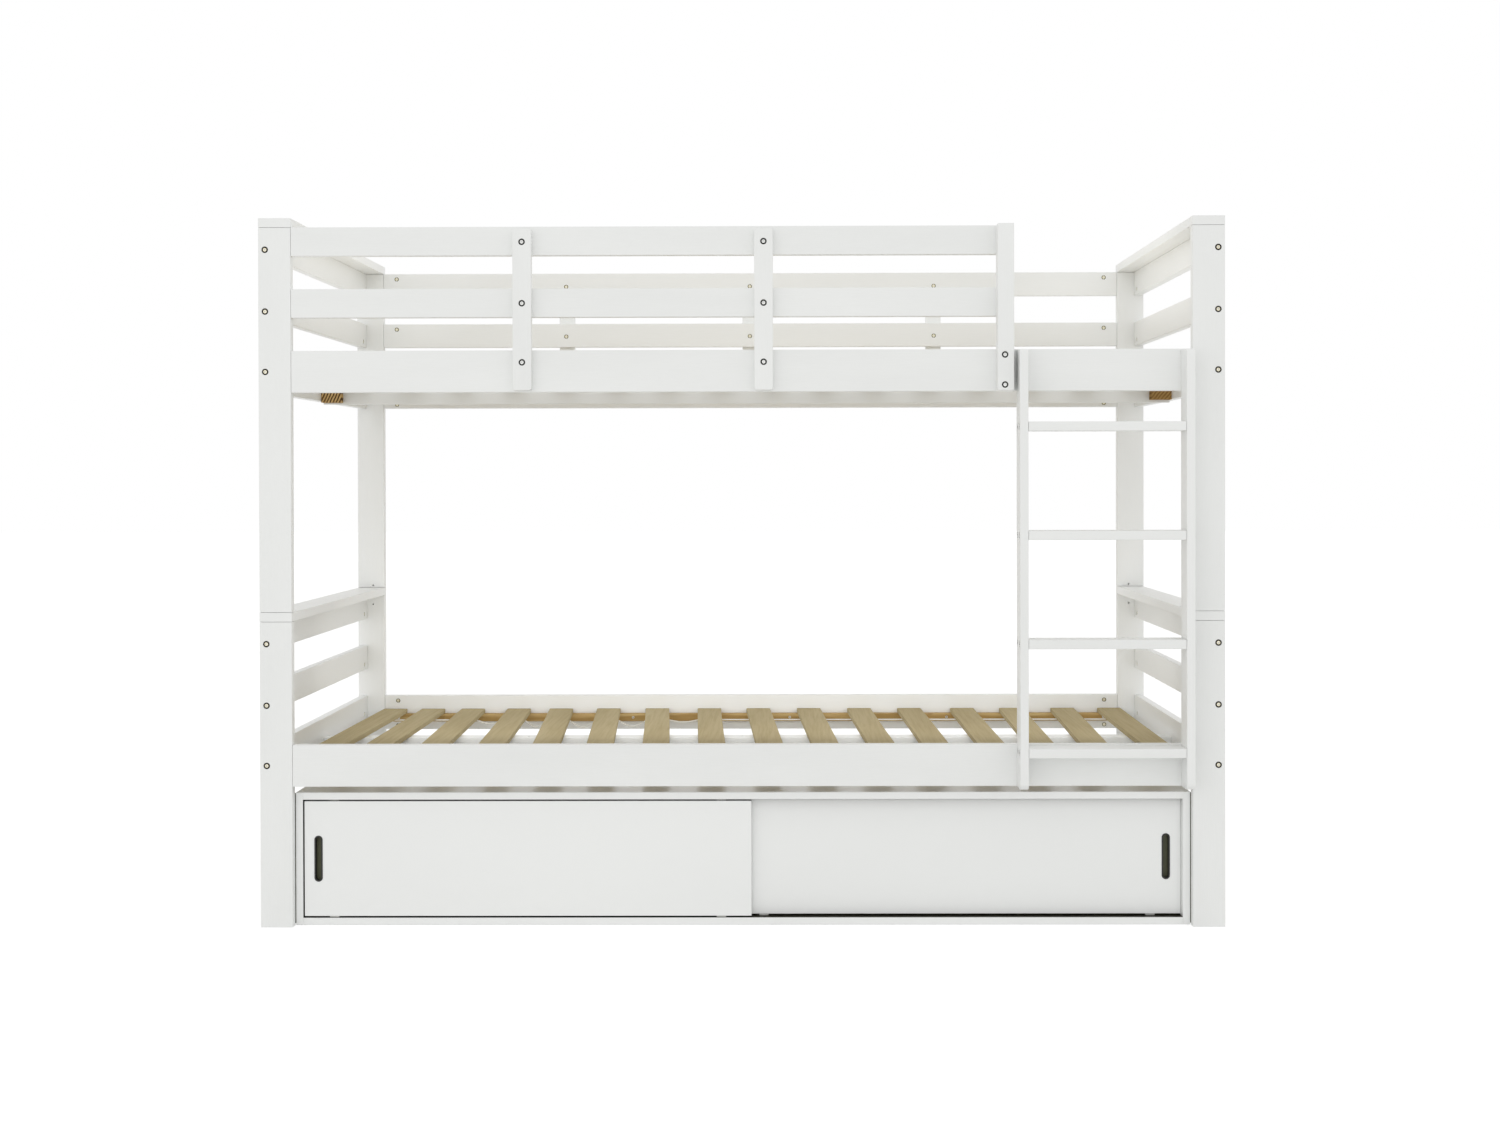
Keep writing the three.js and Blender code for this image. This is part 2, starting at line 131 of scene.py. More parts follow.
def seen_directly(tree):
    """1 for a ray from the camera, a mirror or through glass, 0 for one that only brings light."""
    path = tree.nodes.new("ShaderNodeLightPath")
    total = path.outputs["Is Camera Ray"]
    for kind in ("Is Glossy Ray", "Is Transmission Ray"):
        larger = tree.nodes.new("ShaderNodeMath")
        larger.operation = "MAXIMUM"
        tree.links.new(total, larger.inputs[0])
        tree.links.new(path.outputs[kind], larger.inputs[1])
        total = larger.outputs[0]
    return total


def make_lamp(name, location, target, size, power):
    """A soft lamp aimed at a place, hidden from the camera."""
    lamp = bpy.data.objects.new(name, bpy.data.lights.new(name, "AREA"))
    bpy.context.collection.objects.link(lamp)
    lamp.data.shape = "RECTANGLE"
    lamp.data.size, lamp.data.size_y = size
    lamp.data.energy = power
    lamp.location = location
    lamp.rotation_euler = (Vector(target) - Vector(location)).to_track_quat("-Z", "Y").to_euler()
    lamp.visible_camera = False
    return lamp


def fill(name, location, direction, size, power):
    """Weak even light inside a bunk, with no reflection of its own."""
    target = Vector(location) + Vector(direction)
    lamp = make_lamp(name, location, target, size, power)
    lamp.visible_glossy = False
    lamp.data.spread = math.radians(115)


def make_floor():
    """A pale floor that takes the bed's shadow and otherwise looks as white as the background."""
    clear_selection()
    bpy.ops.mesh.primitive_plane_add(size=60)
    floor = bpy.context.active_object
    floor.name = "floor"
    material = bpy.data.materials.new("studio_floor")
    material.use_nodes = True
    tree = material.node_tree
    tree.nodes.clear()
    matt = tree.nodes.new("ShaderNodeBsdfDiffuse")
    matt.inputs["Color"].default_value = (0.88, 0.88, 0.87, 1)
    glow = tree.nodes.new("ShaderNodeEmission")
    glow.inputs["Strength"].default_value = FLOOR_GLOW
    share = tree.nodes.new("ShaderNodeMath")
    share.operation = "MULTIPLY"
    share.inputs[1].default_value = FLOOR_GLOW_SHARE
    mix = tree.nodes.new("ShaderNodeMixShader")
    output = tree.nodes.new("ShaderNodeOutputMaterial")
    tree.links.new(seen_directly(tree), share.inputs[0])
    tree.links.new(share.outputs[0], mix.inputs[0])
    tree.links.new(matt.outputs[0], mix.inputs[1])
    tree.links.new(glow.outputs[0], mix.inputs[2])
    tree.links.new(mix.outputs[0], output.inputs["Surface"])
    floor.data.materials.append(material)


# Materials

# Where the storage box's opening gets painted shade, a near-black colour standing in for the shadow
# in the gaps round the doors: across its width, from just behind the front edges to the back of the right
# door, and from groove floor to groove floor
GAP_SHADE_SPAN = (("X", -0.9533, 0.9533), ("Y", -0.4411, -0.4020), ("Z", 0.0110, 0.2810))


def shown_colour(red, green, blue):
    """The linear colour of a finish that shows these eight-bit values in even light."""
    linear = []
    for value in (red, green, blue):
        share = value / 255
        linear.append(share / 12.92 if share <= 0.04045 else ((share + 0.055) / 1.055) ** 2.4)
    return (*linear, 1)


def new_finish(name, roughness, metallic=0.0, specular=0.5):
    """A new material with its even settings, its node tree and its shader."""
    material = bpy.data.materials.new(name)
    material.use_nodes = True
    shader = material.node_tree.nodes["Principled BSDF"]
    shader.inputs["Roughness"].default_value = roughness
    shader.inputs["Metallic"].default_value = metallic
    shader.inputs["Specular IOR Level"].default_value = specular
    return material, material.node_tree, shader


def placed_pattern(tree, scale, location=(0, 0, 0), turn=0.0):
    """Object coordinates for a pattern, stretched along the grain and turned about Y in degrees."""
    place = tree.nodes.new("ShaderNodeTexCoord")
    mapping = tree.nodes.new("ShaderNodeMapping")
    mapping.inputs["Scale"].default_value = scale
    mapping.inputs["Location"].default_value = location
    mapping.inputs["Rotation"].default_value = (0, math.radians(turn), 0)
    tree.links.new(place.outputs["Object"], mapping.inputs["Vector"])
    return mapping.outputs[0]


def noise(tree, vector, scale, detail=2.0, roughness=0.5, distortion=0.0):
    """An uneven pattern between 0 and 1."""
    texture = tree.nodes.new("ShaderNodeTexNoise")
    texture.inputs["Scale"].default_value = scale
    texture.inputs["Detail"].default_value = detail
    texture.inputs["Roughness"].default_value = roughness
    texture.inputs["Distortion"].default_value = distortion
    tree.links.new(vector, texture.inputs["Vector"])
    return texture.outputs["Fac"]


def spread(tree, value, low, high, to_low=0.0, to_high=1.0):
    """Stretches the middle of a pattern over a wider range."""
    node = tree.nodes.new("ShaderNodeMapRange")
    for socket, number in zip(("From Min", "From Max", "To Min", "To Max"), (low, high, to_low, to_high)):
        node.inputs[socket].default_value = number
    tree.links.new(value, node.inputs["Value"])
    return node.outputs["Result"]


def blended(tree, factor, first, second):
    """Mixes two colours by a pattern, each a colour or another node's output."""
    node = tree.nodes.new("ShaderNodeMix")
    node.data_type = "RGBA"
    tree.links.new(factor, node.inputs[0])
    for socket, colour in ((node.inputs[6], first), (node.inputs[7], second)):
        if isinstance(colour, tuple):
            socket.default_value = colour
        else:
            tree.links.new(colour, socket)
    return node.outputs[2]


def raised(tree, shader, height, strength, distance):
    """Lets a pattern stand up from the surface."""
    bump = tree.nodes.new("ShaderNodeBump")
    bump.inputs["Strength"].default_value = strength
    bump.inputs["Distance"].default_value = distance
    tree.links.new(height, bump.inputs["Height"])
    tree.links.new(bump.outputs["Normal"], shader.inputs["Normal"])


def toned(tree, pattern, light, dark):
    """A colour that drifts between two near tones with a pattern."""
    return blended(tree, spread(tree, pattern, 0.3, 0.7), shown_colour(*light), shown_colour(*dark))


def along(grain, lengthwise, crosswise):
    """A scale that is small along the grain and large across it."""
    return tuple(lengthwise if axis == grain else crosswise for axis in "xyz")


def painted_wood(grain):
    """Satin white paint that lets a little of the pine's grain show."""
    material, tree, shader = new_finish("white_paint_" + grain, 0.4, specular=0.3)
    fine = noise(tree, placed_pattern(tree, along(grain, 0.05, 1.0)), 520, 3.0, 0.6)
    broad = noise(tree, placed_pattern(tree, along(grain, 0.25, 1.0)), 9, 2.0)
    tone = toned(tree, broad, (241, 242, 241), (237, 238, 237))
    streaks = blended(tree, spread(tree, fine, 0.35, 0.75, 0.0, 0.2), tone, shown_colour(230, 231, 228))
    tree.links.new(streaks, shader.inputs["Base Color"])
    cloud = noise(tree, placed_pattern(tree, along(grain, 0.3, 1.0)), 60)
    tree.links.new(spread(tree, cloud, 0.3, 0.7, 0.39, 0.41), shader.inputs["Roughness"])
    raised(tree, shader, fine, 0.05, 0.0002)
    return material


def slat_wood():
    """Planed, unfinished light wood, with grain along the slat and a tone of its own on each slat."""
    material, tree, shader = new_finish("slat_wood", 0.78, specular=0.12)
    each = noise(tree, placed_pattern(tree, (1.0, 0.12, 1.0)), 8.5, 1.0)
    lines = noise(tree, placed_pattern(tree, (1.0, 0.035, 1.0)), 150, 4.0, 0.6, 0.4)
    pores = noise(tree, placed_pattern(tree, (1.0, 0.03, 1.0)), 900, 2.0)
    tone = toned(tree, each, (190, 176, 140), (176, 161, 124))
    grain = blended(tree, spread(tree, lines, 0.42, 0.72, 0.0, 0.5), tone, shown_colour(158, 141, 102))
    tree.links.new(grain, shader.inputs["Base Color"])
    raised(tree, shader, pores, 0.25, 0.0003)
    return material


def pine(name, grain, heart, pale, dark):
    """Bare pine: rings round a heart outside the board, fine grain and a few brown knots."""
    material, tree, shader = new_finish(name, 0.6, specular=0.25)
    rings = tree.nodes.new("ShaderNodeTexWave")
    rings.wave_type = "RINGS"
    rings.rings_direction = grain.upper()
    rings.inputs["Scale"].default_value = 62
    rings.inputs["Distortion"].default_value = 5.0
    rings.inputs["Detail"].default_value = 2.0
    rings.inputs["Detail Scale"].default_value = 0.6
    tree.links.new(placed_pattern(tree, along(grain, 0.1, 1.0), heart), rings.inputs["Vector"])
    fine = noise(tree, placed_pattern(tree, along(grain, 0.05, 1.0)), 420, 3.0)
    patches = noise(tree, placed_pattern(tree, along(grain, 0.4, 1.0)), 14, 1.0)
    knots = tree.nodes.new("ShaderNodeTexVoronoi")
    knots.inputs["Scale"].default_value = 7.0
    knot_places = placed_pattern(tree, along(grain, 0.9, 1.3), (0.031, 0.017, 0.023))
    tree.links.new(knot_places, knots.inputs["Vector"])
    pale, dark = shown_colour(*pale), shown_colour(*dark)
    wood = blended(tree, spread(tree, rings.outputs["Fac"], 0.2, 0.9), pale, dark)
    patched = blended(tree, spread(tree, patches, 0.35, 0.7, 0.0, 0.45), wood, shown_colour(182, 144, 88))
    grained = blended(tree, spread(tree, fine, 0.4, 0.75, 0.0, 0.35), patched, dark)
    spots = spread(tree, knots.outputs["Distance"], 0.1, 0.03, 0.0, 0.8)
    tree.links.new(blended(tree, spots, grained, shown_colour(104, 66, 34)), shader.inputs["Base Color"])
    raised(tree, shader, fine, 0.25, 0.0003)
    return material


def end_grain(name, lean, pale, dark):
    """Sawn pine seen across the grain: year rings as leaning stripes, over fine pores."""
    material, tree, shader = new_finish(name, 0.7, specular=0.2)
    rings = tree.nodes.new("ShaderNodeTexWave")
    rings.bands_direction = "X"
    rings.inputs["Scale"].default_value = 46
    rings.inputs["Distortion"].default_value = 1.6
    rings.inputs["Detail"].default_value = 2.0
    rings.inputs["Detail Scale"].default_value = 1.4
    tree.links.new(placed_pattern(tree, (1, 1, 1), turn=lean), rings.inputs["Vector"])
    pores = noise(tree, placed_pattern(tree, (1, 1, 0.3), turn=lean), 900, 2.0)
    patches = noise(tree, placed_pattern(tree, (1, 1, 1)), 60, 1.0)
    pale, dark = shown_colour(*pale), shown_colour(*dark)
    wood = blended(tree, spread(tree, rings.outputs["Fac"], 0.3, 0.75), pale, dark)
    patched = blended(tree, spread(tree, patches, 0.4, 0.7, 0.0, 0.4), wood, shown_colour(150, 112, 62))
    speckled = blended(tree, spread(tree, pores, 0.5, 0.75, 0.0, 0.5), patched, dark)
    tree.links.new(speckled, shader.inputs["Base Color"])
    raised(tree, shader, rings.outputs["Fac"], 0.2, 0.0003)
    return material


def faced_board(name):
    """White laminate on chipboard: smooth and glossy, with the least ripple of the pressed face."""
    material, tree, shader = new_finish(name, 0.25)
    ripple = noise(tree, placed_pattern(tree, (1, 1, 1)), 190, 2.0)
    broad = noise(tree, placed_pattern(tree, (0.4, 1, 1)), 4, 1.0)
    tree.links.new(toned(tree, broad, (244, 245, 244), (242, 243, 242)), shader.inputs["Base Color"])
    tree.links.new(spread(tree, ripple, 0.3, 0.7, 0.24, 0.26), shader.inputs["Roughness"])
    raised(tree, shader, ripple, 0.05, 0.0004)
    return material


def gap_shaded_board():
    """The same board, with painted shade in the opening where the doors run: near-black colour there
    stands in for the shadow in the gaps round the doors.
    """
    material = faced_board("lined_white_board")
    tree = material.node_tree
    shader = tree.nodes["Principled BSDF"]
    white = shader.inputs["Base Color"].links[0].from_socket
    place = tree.nodes.new("ShaderNodeTexCoord")
    parts = tree.nodes.new("ShaderNodeSeparateXYZ")
    tree.links.new(place.outputs["Object"], parts.inputs["Vector"])
    mask = None
    for axis, low, high in GAP_SHADE_SPAN:
        middle, half = (low + high) / 2, (high - low) / 2
        inside = tree.nodes.new("ShaderNodeMath")
        inside.operation = "COMPARE"
        inside.inputs[1].default_value = middle
        inside.inputs[2].default_value = half
        tree.links.new(parts.outputs[axis], inside.inputs[0])
        if mask is None:
            mask = inside.outputs[0]
            continue
        both = tree.nodes.new("ShaderNodeMath")
        both.operation = "MULTIPLY"
        tree.links.new(mask, both.inputs[0])
        tree.links.new(inside.outputs[0], both.inputs[1])
        mask = both.outputs[0]
    grit = noise(tree, placed_pattern(tree, (1, 1, 1)), 900, 2.0)
    # Painted shade: the near-black colour inside the opening stands in for the shadow in the door gaps
    dark = toned(tree, grit, (46, 44, 30), (36, 35, 24))
    tree.links.new(blended(tree, mask, white, dark), shader.inputs["Base Color"])
    return material


def moulded_plastic(name, light, dark, roughness):
    """Moulded plastic with a fine spark-eroded texture."""
    material, tree, shader = new_finish(name, roughness)
    grit = noise(tree, placed_pattern(tree, (1, 1, 1)), 1600, 2.0)
    cloud = noise(tree, placed_pattern(tree, (1, 1, 1)), 60, 1.0)
    tree.links.new(toned(tree, cloud, light, dark), shader.inputs["Base Color"])
    raised(tree, shader, grit, 0.3, 0.0002)
    return material


def plated_metal(name, light, dark, roughness):
    """Plated steel with faint turning marks and a cloudy tone."""
    material, tree, shader = new_finish(name, roughness, metallic=1.0)
    cloud = noise(tree, placed_pattern(tree, (1, 1, 1)), 260, 2.0)
    scuffs = noise(tree, placed_pattern(tree, (1, 1, 0.2)), 2400, 2.0)
    tree.links.new(toned(tree, cloud, light, dark), shader.inputs["Base Color"])
    worn = spread(tree, scuffs, 0.3, 0.7, roughness - 0.06, roughness + 0.1)
    tree.links.new(worn, shader.inputs["Roughness"])
    raised(tree, shader, scuffs, 0.15, 0.0001)
    return material


def painted_shade_finish(name, light, dark):
    """Painted shade and painted reflection for a fitting: a dark colour on the slope round its head and
    in its socket or slot, standing in for the recess's shadow and the dark it reflects, duller than the
    face it surrounds.
    """
    material, tree, shader = new_finish(name, 0.5, specular=0.3)
    cloud = noise(tree, placed_pattern(tree, (1, 1, 1)), 700, 2.0)
    tree.links.new(toned(tree, cloud, light, dark), shader.inputs["Base Color"])
    tree.links.new(spread(tree, cloud, 0.3, 0.7, 0.42, 0.6), shader.inputs["Roughness"])
    raised(tree, shader, cloud, 0.2, 0.0001)
    return material


def woven_tape():
    """White cotton tape with a plain weave of about one thread a millimetre."""
    material, tree, shader = new_finish("white_tape", 0.9, specular=0.1)
    threads = []
    for direction in "XY":
        wave = tree.nodes.new("ShaderNodeTexWave")
        wave.bands_direction = direction
        wave.inputs["Scale"].default_value = 310
        tree.links.new(placed_pattern(tree, (1, 1, 1)), wave.inputs["Vector"])
        threads.append(wave.outputs["Fac"])
    weave = tree.nodes.new("ShaderNodeMath")
    weave.operation = "MULTIPLY"
    tree.links.new(threads[0], weave.inputs[0])
    tree.links.new(threads[1], weave.inputs[1])
    colour = blended(tree, weave.outputs[0], shown_colour(226, 224, 216), shown_colour(245, 244, 240))
    tree.links.new(colour, shader.inputs["Base Color"])
    raised(tree, shader, weave.outputs[0], 0.5, 0.0003)
    return material


# Modelling

def clear_selection():
    """Deselects everything, so that the next operator acts on its own piece alone."""
    bpy.ops.object.select_all(action="DESELECT")


def pick(piece):
    """Selects one piece and makes it active."""
    clear_selection()
    piece.select_set(True)
    bpy.context.view_layer.objects.active = piece


def select_edges(piece, wanted):
    """Selects the edges whose two end points pass the test, in edit mode."""
    edit = bmesh.from_edit_mesh(piece.data)
    for edge in edit.edges:
        edge.select = wanted(*(vertex.co for vertex in edge.verts))
    edit.select_flush_mode()
    bmesh.update_edit_mesh(piece.data)


def block(name, low, high):
    """A plain block between two corners, with its place in its mesh. Every shape starts from one."""
    low, high = Vector(low), Vector(high)
    clear_selection()
    bpy.ops.mesh.primitive_cube_add(size=1, location=(low + high) / 2)
    piece = bpy.context.active_object
    piece.name = name
    piece.scale = high - low
    bpy.ops.object.transform_apply(location=True, rotation=False, scale=True)
    return piece


def ease(piece, wanted, width, segments):
    """Rounds the edges that pass the test."""
    bpy.ops.object.mode_set(mode="EDIT")
    select_edges(piece, wanted)
    bpy.ops.mesh.bevel(offset=width, segments=segments, affect="EDGES")
    bpy.ops.object.mode_set(mode="OBJECT")


def runs_along(axis):
    """A test for edges that run along one axis."""
    number = AXES[axis]
    return lambda a, b: all(abs(a[i] - b[i]) < 1e-6 for i in range(3) if i != number)


def lies_at(axis, *places):
    """A test for edges that lie in one of the planes across an axis."""
    number = AXES[axis]
    return lambda a, b: any(abs(a[number] - p) < 1e-6 and abs(b[number] - p) < 1e-6 for p in places)


def board(name, low, high, grain, arris=ARRIS, end_arris=END_ARRIS, gaps=(0, 0)):
    """A planed board with its long edges rounded and its ends just eased.

    The gaps shorten it at its low and high end, where it meets another board.
    """
    low, high = Vector(low), Vector(high)
    number = AXES[grain]
    low[number] += gaps[0]
    high[number] -= gaps[1]
    piece = block(name, low, high)
    ease(piece, runs_along(grain), arris, 3)
    ease(piece, lies_at(grain, low[number], high[number]), end_arris, 2)
    return piece


def rounded_batten(name, low, high):
    """A short board fixed flat on rails, with round corners and eased faces."""
    piece = block(name, low, high)
    ease(piece, runs_along("y"), BATTEN_CORNER, 5)
    ease(piece, lies_at("y", low[1], high[1]), 0.001, 3)
    return piece


def combine(piece, tool, operation):
    """Cuts a tool out of a piece or adds it, and removes the tool."""
    pick(piece)
    modifier = piece.modifiers.new("shape", "BOOLEAN")
    modifier.operation = operation
    modifier.solver = "EXACT"
    modifier.object = tool
    bpy.ops.object.modifier_apply(modifier=modifier.name)
    remove(tool)


def join(pieces, name):
    """One object from several, under one name."""
    clear_selection()
    for piece in pieces:
        piece.select_set(True)
    bpy.context.view_layer.objects.active = pieces[0]
    if len(pieces) > 1:
        bpy.ops.object.join()
    pieces[0].name = name
    return pieces[0]


def facing(direction):
    """The turn that brings a shape made to face the front round to another direction."""
    return FORWARD.rotation_difference(Vector(direction)).to_matrix().to_4x4()


def disc(radius, depth, sides, front=0.0):
    """A round block that faces the front, with its front face at Y = front."""
    clear_selection()
    middle = (0, front + depth / 2, 0)
    bpy.ops.mesh.primitive_cylinder_add(
        vertices=sides, radius=radius, depth=depth, location=middle, rotation=(math.pi / 2, 0, 0)
    )
    piece = bpy.context.active_object
    bpy.ops.object.transform_apply(location=True, rotation=True, scale=True)
    return piece


def placed_copies(template, spots, name):
    """Copies of a shape at each (place, direction), joined into one piece."""
    copies = []
    for place, direction in spots:
        copy = template.copy()
        copy.data = template.data.copy()
        bpy.context.collection.objects.link(copy)
        copy.data.transform(Matrix.Translation(Vector(place)) @ facing(direction))
        copies.append(copy)
    return join(copies, name)


def drill(piece, spots, diameter, depth):
    """Round recesses in a piece, each at a (place, direction) on its surface."""
    cutter = disc(diameter / 2, depth + 0.002, 28, -0.002)
    cutters = placed_copies(cutter, spots, "recesses")
    remove(cutter)
    combine(piece, cutters, "DIFFERENCE")


def remove(piece):
    """Deletes a piece that only helped to shape others."""
    mesh = piece.data
    bpy.data.objects.remove(piece)
    bpy.data.meshes.remove(mesh)


def finish_piece(piece, material, nodes=(), body="bed", angle=35):
    """Smooths the rounded edges, gives the finish, and puts the piece on its body."""
    pick(piece)
    bpy.ops.object.shade_smooth_by_angle(angle=math.radians(angle))
    even = piece.modifiers.new("even_shading", "WEIGHTED_NORMAL")
    even.keep_sharp = True
    bpy.ops.object.modifier_apply(modifier=even.name)
    if not piece.data.materials:
        piece.data.materials.append(material)
    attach(piece, body)
    if nodes:
        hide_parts(*nodes)


# Fittings

def two_finishes(piece, material, second, is_second):
    """Gives a piece two finishes, the second one on the faces that pass the test."""
    piece.data.materials.append(material)
    piece.data.materials.append(second)
    for face in piece.data.polygons:
        if is_second(face):
            face.material_index = 1


def every_face(face):
    """A test that each face passes."""
    return True


def behind_the_middle(face):
    """A test for the faces of a fitting's sloping rim and side, which get the painted shade."""
    return face.center.y > 0.00005


def raise_middle(piece, front, width):
    """Insets the front face of a disc by a width and brings the middle forward to Y = 0."""
    bpy.ops.object.mode_set(mode="EDIT")
    select_edges(piece, lies_at("y", front))
    bpy.ops.mesh.select_mode(type="FACE")
    bpy.ops.mesh.inset(thickness=width, depth=front)
    bpy.ops.mesh.select_mode(type="EDGE")
    bpy.ops.object.mode_set(mode="OBJECT")


def bolt_head(material, shade_material):
    """A bright flat head with a hexagon socket, inside a wide sloping rim; rim and socket are coloured
    dark as painted shade.
    """
    rim_drop, rim_width = 0.0008, 0.0032
    head = disc(BOLT_DIAMETER / 2, 0.002, 32, rim_drop)
    raise_middle(head, rim_drop, rim_width)
    two_finishes(head, material, shade_material, behind_the_middle)
    socket = disc(0.0023, 0.006, 6, -0.003)
    two_finishes(socket, material, shade_material, every_face)
    combine(head, socket, "DIFFERENCE")
    return head


def barrel_nut(material, recess_shade):
    """The round end of a cross dowel, with the slot that turns it into line; its rim and slot are
    coloured dark as painted shade.
    """
    rim_drop, rim_width = 0.0004, 0.0018
    nut = disc(BARREL_DIAMETER / 2, 0.003, 28, rim_drop)
    raise_middle(nut, rim_drop, rim_width)
    two_finishes(nut, material, recess_shade, behind_the_middle)
    slot = block("slot", (-0.0006, -0.001, -0.0065), (0.0006, 0.0012, 0.0065))
    two_finishes(slot, material, recess_shade, every_face)
    combine(nut, slot, "DIFFERENCE")
    return nut


def wood_screw(material, recess_shade):
    """A small countersunk screw head with a cross recess, coloured dark inside as painted shade."""
    head = disc(SCREW_DIAMETER / 2, 0.002, 24)
    ease(head, lies_at("y", 0.0), 0.0003, 1)
    two_finishes(head, material, recess_shade, lambda face: False)
    for half_x, half_z in ((0.0019, 0.0005), (0.0005, 0.0019)):
        arm = block("cross", (-half_x, -0.001, -half_z), (half_x, 0.001, half_z))
        two_finishes(arm, material, recess_shade, every_face)
        combine(head, arm, "DIFFERENCE")
    return head


def fit(kind, carrier, spots, sink):
    """Puts copies of a fitting just below the surface of the board that carries them."""
    sunk = [(Vector(place) - Vector(direction) * sink, direction) for place, direction in spots]
    fitted = placed_copies(fittings[kind], sunk, carrier + "_" + kind)
    finish_piece(fitted, None, angle=30)


# The bed's frame

END_RAILS = ("bed_rail", "middle_rail", "top_rail")

# The pilot hole in each back post: below the lower post's top, above the upper post's foot,
# and off the post's middle line
PILOT_HOLE_BELOW_TOP = 0.024
PILOT_HOLE_ABOVE_FOOT = 0.006
PILOT_HOLE_INWARD = 0.005
PILOT_HOLE_DEPTH = 0.012


def end_rail_bolt_height(rail, low, high):
    """A bed rail is bolted at its middle, a slim rail near its lower edge."""
    return (low.z + high.z) / 2 if rail == "bed_rail" else low.z + SLIM_RAIL_BOLT_RISE


def post(bunk, side, end):
    """An upright of an end frame, drilled for the bolts that hold the end rails and side rails."""
    node = f"{bunk}_{side}_{end}_post"
    low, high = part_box(node)
    stands_on_cap = JOINT_GAP if bunk == "upper" else 0
    piece = board(node + "_wood", low, high, "z", gaps=(stands_on_cap, JOINT_GAP))
    outward = 1 if side == "right" else -1
    face = -1 if end == "front" else 1
    face_y = low.y if end == "front" else high.y
    bolts = []
    for rail in END_RAILS:
        rail_low, rail_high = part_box(f"{bunk}_{side}_{rail}")
        z = end_rail_bolt_height(rail, rail_low, rail_high)
        bolts.append((((rail_low.x + rail_high.x) / 2, face_y, z), (0, face, 0)))
    outer_x = high.x if side == "right" else low.x
    middle_y = (low.y + high.y) / 2
    for rail in rails_meeting(bunk, side, end):
        for z in nut_heights(rail):
            bolts.append(((outer_x, middle_y, z), (outward, 0, 0)))
    drill(piece, bolts, BOLT_RECESS, BOLT_RECESS_DEPTH)
    if end == "back":
        hole_z = high.z - PILOT_HOLE_BELOW_TOP if bunk == "lower" else low.z + PILOT_HOLE_ABOVE_FOOT
        hole_x = (low.x + high.x) / 2 - outward * PILOT_HOLE_INWARD
        drill(piece, [((hole_x, low.y, hole_z), (0, -1, 0))], PILOT_HOLE_DIAMETER, PILOT_HOLE_DEPTH)
    finish_piece(piece, paint["z"], [node])
    fit("brass_bolts", node, bolts, BOLT_SINK)


def rails_meeting(bunk, side, end):
    """The long rails whose ends meet a post."""
    rails = [f"{bunk}_{end}_side_rail"]
    if bunk == "upper" and (end == "back" or side == "left"):
        rails += [f"{end}_guard_middle_rail", f"{end}_guard_top_rail"]
    return rails


def nut_heights(rail):
    """Heights of the bolts in a long rail: two in a bed's side rail, one in a slim rail."""
    low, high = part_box(rail)
    if "side_rail" in rail:
        return [low.z + RAIL_NUT_RISE, high.z - RAIL_NUT_DROP]
    return [high.z - RAIL_NUT_DROP]


def long_rail(node, ends=("left", "right"), batten_screws=()):
    """A rail along the bed, with the cross dowels for its bolts in its inner face."""
    low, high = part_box(node)
    piece = board(node + "_wood", low, high, "x", gaps=(JOINT_GAP, JOINT_GAP))
    front = high.y < 0
    inner_y = high.y if front else low.y
    inward = (0, 1, 0) if front else (0, -1, 0)
    nuts = []
    for end in ends:
        x = low.x + BARREL_SETBACK if end == "left" else high.x - BARREL_SETBACK
        nuts += [((x, inner_y, z), inward) for z in nut_heights(node)]
    nuts += [((x, inner_y, z), inward) for x, z in batten_screws]
    drill(piece, nuts, BARREL_HOLE, BARREL_HOLE_DEPTH)
    finish_piece(piece, paint["x"], [node])
    fit("dowels", node, nuts, BARREL_SINK)


def end_frame(bunk, side):
    """Two posts, the cap over them and the three rails between them."""
    for end in ("front", "back"):
        post(bunk, side, end)
    cap = f"{bunk}_{side}_cap"
    low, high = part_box(cap)
    finish_piece(board(cap + "_wood", low, high, "y", 0.001), paint["y"], [cap])
    inward = (-1, 0, 0) if side == "right" else (1, 0, 0)
    for rail in END_RAILS:
        node = f"{bunk}_{side}_{rail}"
        low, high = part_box(node)
        z = end_rail_bolt_height(rail, low, high)
        inner_x = low.x if side == "right" else high.x
        nuts = [((inner_x, y, z), inward) for y in (low.y + BARREL_SETBACK, high.y - BARREL_SETBACK)]
        piece = board(node + "_wood", low, high, "y", gaps=(JOINT_GAP, JOINT_GAP))
        drill(piece, nuts, BARREL_HOLE, BARREL_HOLE_DEPTH)
        finish_piece(piece, paint["y"], [node])
        fit("dowels", node, nuts, BARREL_SINK)


# Slats. On the lower bunk they have been pushed out of line: how far, in millimetres,
# at one place before and one behind the middle of the bed.

PUSH_BEFORE_Y = -0.229
PUSH_BEHIND_Y = 0.372
SLAT_PUSH_BEFORE = (-23, -38, -32, -26, -23, -22, -19, -12, -4, 0, 7, 4, 10, -1, -4, 14)
SLAT_PUSH_BEHIND = (-15, -37, -52, -53, -63, -61, -56, -43, -37, -28, -19, -12, 3, 7, 17, 19)
SLAT_WIDTH = 0.062
SLAT_THICKNESS = 0.012
SLAT_HALF_LENGTH = 0.460
SLAT_CUTS = 5
FIRST_SLAT_X = -0.927
SLAT_PITCH = 0.1236
SLAT_COUNT = 16
LEDGER_SIDE = 0.020
LEDGER_SCREWS = 10
LEDGER_END_SCREW = 0.03


def push_share(y):
    """How far a place along a slat lies from the first measured push to the second."""
    return (y - PUSH_BEFORE_Y) / (PUSH_BEHIND_Y - PUSH_BEFORE_Y)


